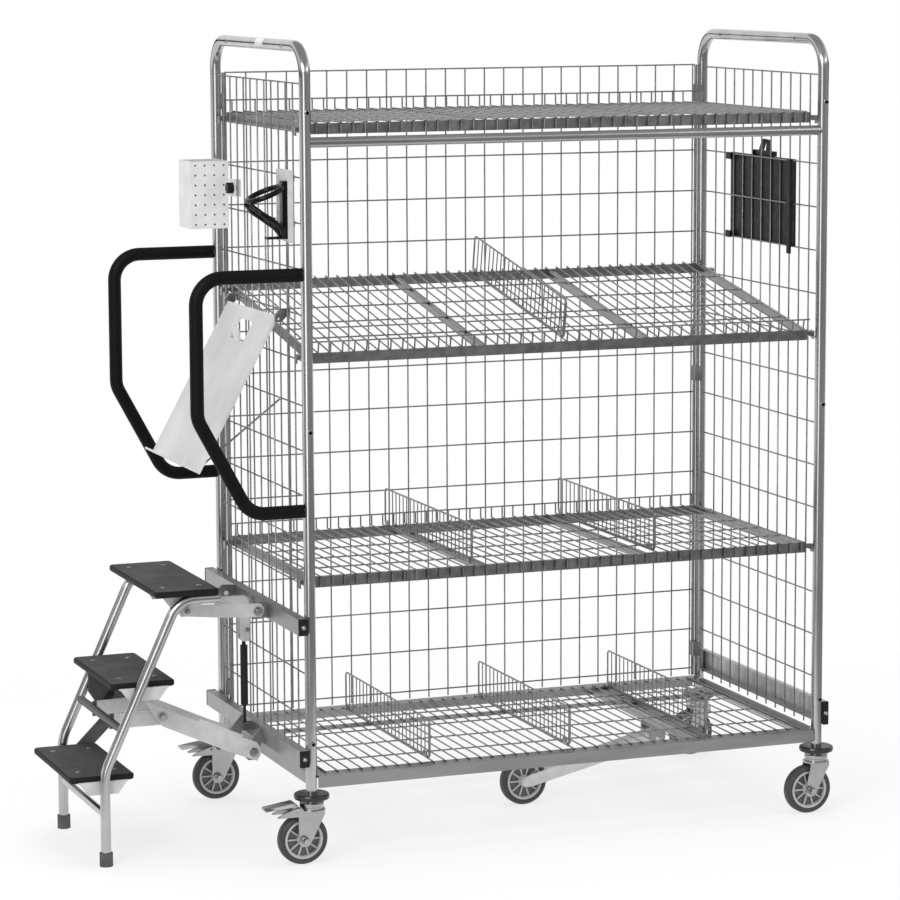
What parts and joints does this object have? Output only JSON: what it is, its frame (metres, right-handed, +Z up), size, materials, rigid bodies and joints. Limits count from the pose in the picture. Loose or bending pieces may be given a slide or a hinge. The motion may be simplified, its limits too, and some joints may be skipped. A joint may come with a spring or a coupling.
{
  "type": "order picking trolley",
  "caption": "Tall wire-mesh order picking trolley with wire shelves and dividers, foam push handles, a lift-up step ladder on a gas spring, swivel castors and a centre wheel.",
  "frame": {"origin": "centre of the bounding box at floor level", "axes": "+X along the length towards the end without the ladder, -Y towards the open front, +Z up"},
  "size_m": [1.9786, 0.8028, 2],
  "materials": {
    "zinc_plate": "bright zinc-plated steel, light brushed sheen",
    "chrome_tube": "bright chrome-plated steel tube",
    "grey_steel": "light grey powder coat on folded sheet",
    "black_steel": "satin black coat",
    "black_plastic": "fine-grained black plastic",
    "foam": "closed-cell black foam sleeve",
    "rubber": "matt black rubber",
    "wheel_plastic": "mid-grey moulded nylon",
    "tyre": "dark grey elastic rubber tread",
    "white_sheet": "white powder coat",
    "board_plastic": "glossy pale plastic sheet"
  },
  "bodies": {
    "trolley": {"back_mesh_panel": "zinc_plate", "back_panel_clips": "zinc_plate", "base_deck_wires": "zinc_plate", "base_dividers": "zinc_plate", "base_frame": "zinc_plate", "bottle_cage": "black_plastic", "bottle_cage_bracket": "zinc_plate", "castor_bumpers": "black_plastic", "castor_stems": "zinc_plate", "clipboard": "black_plastic", "flat_shelf": "zinc_plate", "handle_grips": "foam", "handle_tubes": "zinc_plate", "left_end_frame": "zinc_plate", "left_end_mesh": "zinc_plate", "lower_ladder_rail": "zinc_plate", "perforated_holder": "white_sheet", "post_bolts": "zinc_plate", "rail_end_caps": "black_plastic", "right_end_frame": "zinc_plate", "right_end_mesh": "zinc_plate", "right_end_rail": "zinc_plate", "shelf_dividers": "zinc_plate", "tilted_shelf": "zinc_plate", "top_front_bar": "zinc_plate", "top_shelf": "zinc_plate", "upper_ladder_rail": "zinc_plate"},
    "front_left_castor": {"front_left_fork": "zinc_plate"},
    "front_left_wheel": {"front_left_rim": "wheel_plastic", "front_left_tyre": "tyre"},
    "rear_left_castor": {"rear_left_fork": "zinc_plate"},
    "rear_left_wheel": {"rear_left_rim": "wheel_plastic", "rear_left_tyre": "tyre"},
    "front_right_castor": {"front_right_fork": "zinc_plate"},
    "front_right_wheel": {"front_right_rim": "wheel_plastic", "front_right_tyre": "tyre"},
    "rear_right_castor": {"rear_right_fork": "zinc_plate"},
    "rear_right_wheel": {"rear_right_rim": "wheel_plastic", "rear_right_tyre": "tyre"},
    "front_left_brake": {"front_left_brake_pedal": "zinc_plate"},
    "rear_left_brake": {"rear_left_brake_pedal": "zinc_plate"},
    "fifth_arm": {"fifth_wheel_arm": "zinc_plate"},
    "fifth_wheel": {"fifth_wheel_rim": "wheel_plastic", "fifth_wheel_tyre": "tyre"},
    "lower_arm": {"lower_arm": "grey_steel"},
    "ladder": {"ladder_stringers": "chrome_tube", "ladder_feet": "rubber", "ladder_treads": "black_plastic", "tread_trays": "grey_steel", "ladder_brackets": "zinc_plate", "ladder_spine": "black_steel"},
    "upper_arm": {"upper_arms": "grey_steel"},
    "spring_rod": {"gas_spring_rod": "zinc_plate"},
    "spring_cylinder": {"gas_spring_cylinder": "black_steel"},
    "release": {"ladder_release": "black_plastic"},
    "board": {"document_board": "board_plastic"},
    "stay": {"board_stay": "zinc_plate"},
    "jaw": {"clipboard_jaw": "black_steel"},
    "knob": {"holder_knob": "black_plastic"}
  },
  "joints": [
    {"name": "front_left_swivel", "type": "hinge", "parent": "trolley", "child": "front_left_castor", "pos_m": [-0.42975, -0.3575, 0.1427], "axis": [0, 0, 1], "continuous": true},
    {"name": "front_left_roll", "type": "hinge", "parent": "front_left_castor", "child": "front_left_wheel", "pos_m": [-0.45475, -0.3575, 0.0625], "axis": [0, 1, 0], "continuous": true},
    {"name": "rear_left_swivel", "type": "hinge", "parent": "trolley", "child": "rear_left_castor", "pos_m": [-0.42975, 0.3575, 0.1427], "axis": [0, 0, 1], "continuous": true},
    {"name": "rear_left_roll", "type": "hinge", "parent": "rear_left_castor", "child": "rear_left_wheel", "pos_m": [-0.45475, 0.3575, 0.0625], "axis": [0, 1, 0], "continuous": true},
    {"name": "front_right_swivel", "type": "hinge", "parent": "trolley", "child": "front_right_castor", "pos_m": [0.94525, -0.3575, 0.1427], "axis": [0, 0, 1], "continuous": true},
    {"name": "front_right_roll", "type": "hinge", "parent": "front_right_castor", "child": "front_right_wheel", "pos_m": [0.92025, -0.3575, 0.0625], "axis": [0, 1, 0], "continuous": true},
    {"name": "rear_right_swivel", "type": "hinge", "parent": "trolley", "child": "rear_right_castor", "pos_m": [0.94525, 0.3575, 0.1427], "axis": [0, 0, 1], "continuous": true},
    {"name": "rear_right_roll", "type": "hinge", "parent": "rear_right_castor", "child": "rear_right_wheel", "pos_m": [0.92025, 0.3575, 0.0625], "axis": [0, 1, 0], "continuous": true},
    {"name": "front_left_brake_press", "type": "hinge", "parent": "front_left_castor", "child": "front_left_brake", "pos_m": [-0.47275, -0.3575, 0.138], "axis": [0, 1, 0], "range_deg": [-15, 0]},
    {"name": "rear_left_brake_press", "type": "hinge", "parent": "rear_left_castor", "child": "rear_left_brake", "pos_m": [-0.47275, 0.3575, 0.138], "axis": [0, 1, 0], "range_deg": [-15, 0]},
    {"name": "fifth_arm_swing", "type": "hinge", "parent": "trolley", "child": "fifth_arm", "pos_m": [0.64525, 0, 0.15], "axis": [0, 1, 0], "range_deg": [0, 10]},
    {"name": "fifth_roll", "type": "hinge", "parent": "fifth_arm", "child": "fifth_wheel", "pos_m": [0.27325, 0, 0.0625], "axis": [0, 1, 0], "continuous": true},
    {"name": "lower_arm_lift", "type": "hinge", "parent": "trolley", "child": "lower_arm", "pos_m": [-0.49175, 0, 0.224], "axis": [0, 1, 0], "range_deg": [0, 14]},
    {"name": "ladder_carry", "type": "hinge", "parent": "lower_arm", "child": "ladder", "pos_m": [-0.72675, 0, 0.333], "axis": [0, 1, 0], "range_deg": [-18.3, 0]},
    {"name": "upper_arm_lift", "type": "hinge", "parent": "trolley", "child": "upper_arm", "pos_m": [-0.49175, 0, 0.592], "axis": [0, 1, 0], "range_deg": [0, 18.5]},
    {"name": "spring_tilt", "type": "hinge", "parent": "trolley", "child": "spring_rod", "pos_m": [-0.48575, 0, 0.272], "axis": [0, 1, 0], "range_deg": [-7, 0]},
    {"name": "spring_stroke", "type": "slide", "parent": "spring_rod", "child": "spring_cylinder", "axis": [0, 0, 1], "range_m": [0, 0.0045]},
    {"name": "release_press", "type": "hinge", "parent": "ladder", "child": "release", "pos_m": [-0.78149, 0.1842, 0.3425], "axis": [0, 1, 0], "range_deg": [0, 15], "stiffness_Nm_per_rad": 0.3},
    {"name": "board_fold", "type": "hinge", "parent": "trolley", "child": "board", "pos_m": [-0.45375, 0, 1.325], "axis": [0, 1, 0], "range_deg": [-15, 0]},
    {"name": "stay_fold", "type": "hinge", "parent": "board", "child": "stay", "pos_m": [-0.64047, 0, 0.96891], "axis": [0, 1, 0], "range_deg": [-19.6, 0]},
    {"name": "jaw_open", "type": "hinge", "parent": "trolley", "child": "jaw", "pos_m": [0.95885, 0, 1.684], "axis": [0, 1, 0], "range_deg": [-25, 0], "stiffness_Nm_per_rad": 0.6},
    {"name": "knob_turn", "type": "hinge", "parent": "trolley", "child": "knob", "pos_m": [-0.43635, 0.19425, 1.618], "axis": [1, 0, 0], "continuous": true}
  ],
  "couplings": [
    {"joint": "upper_arm_lift", "follows": "lower_arm_lift", "ratio": 1.3136},
    {"joint": "ladder_carry", "follows": "lower_arm_lift", "ratio": -1.3043},
    {"joint": "spring_tilt", "follows": "lower_arm_lift", "ratio": -0.487},
    {"joint": "spring_stroke", "follows": "lower_arm_lift", "m_per_rad": 0.0175},
    {"joint": "stay_fold", "follows": "board_fold", "ratio": 1.3}
  ]
}
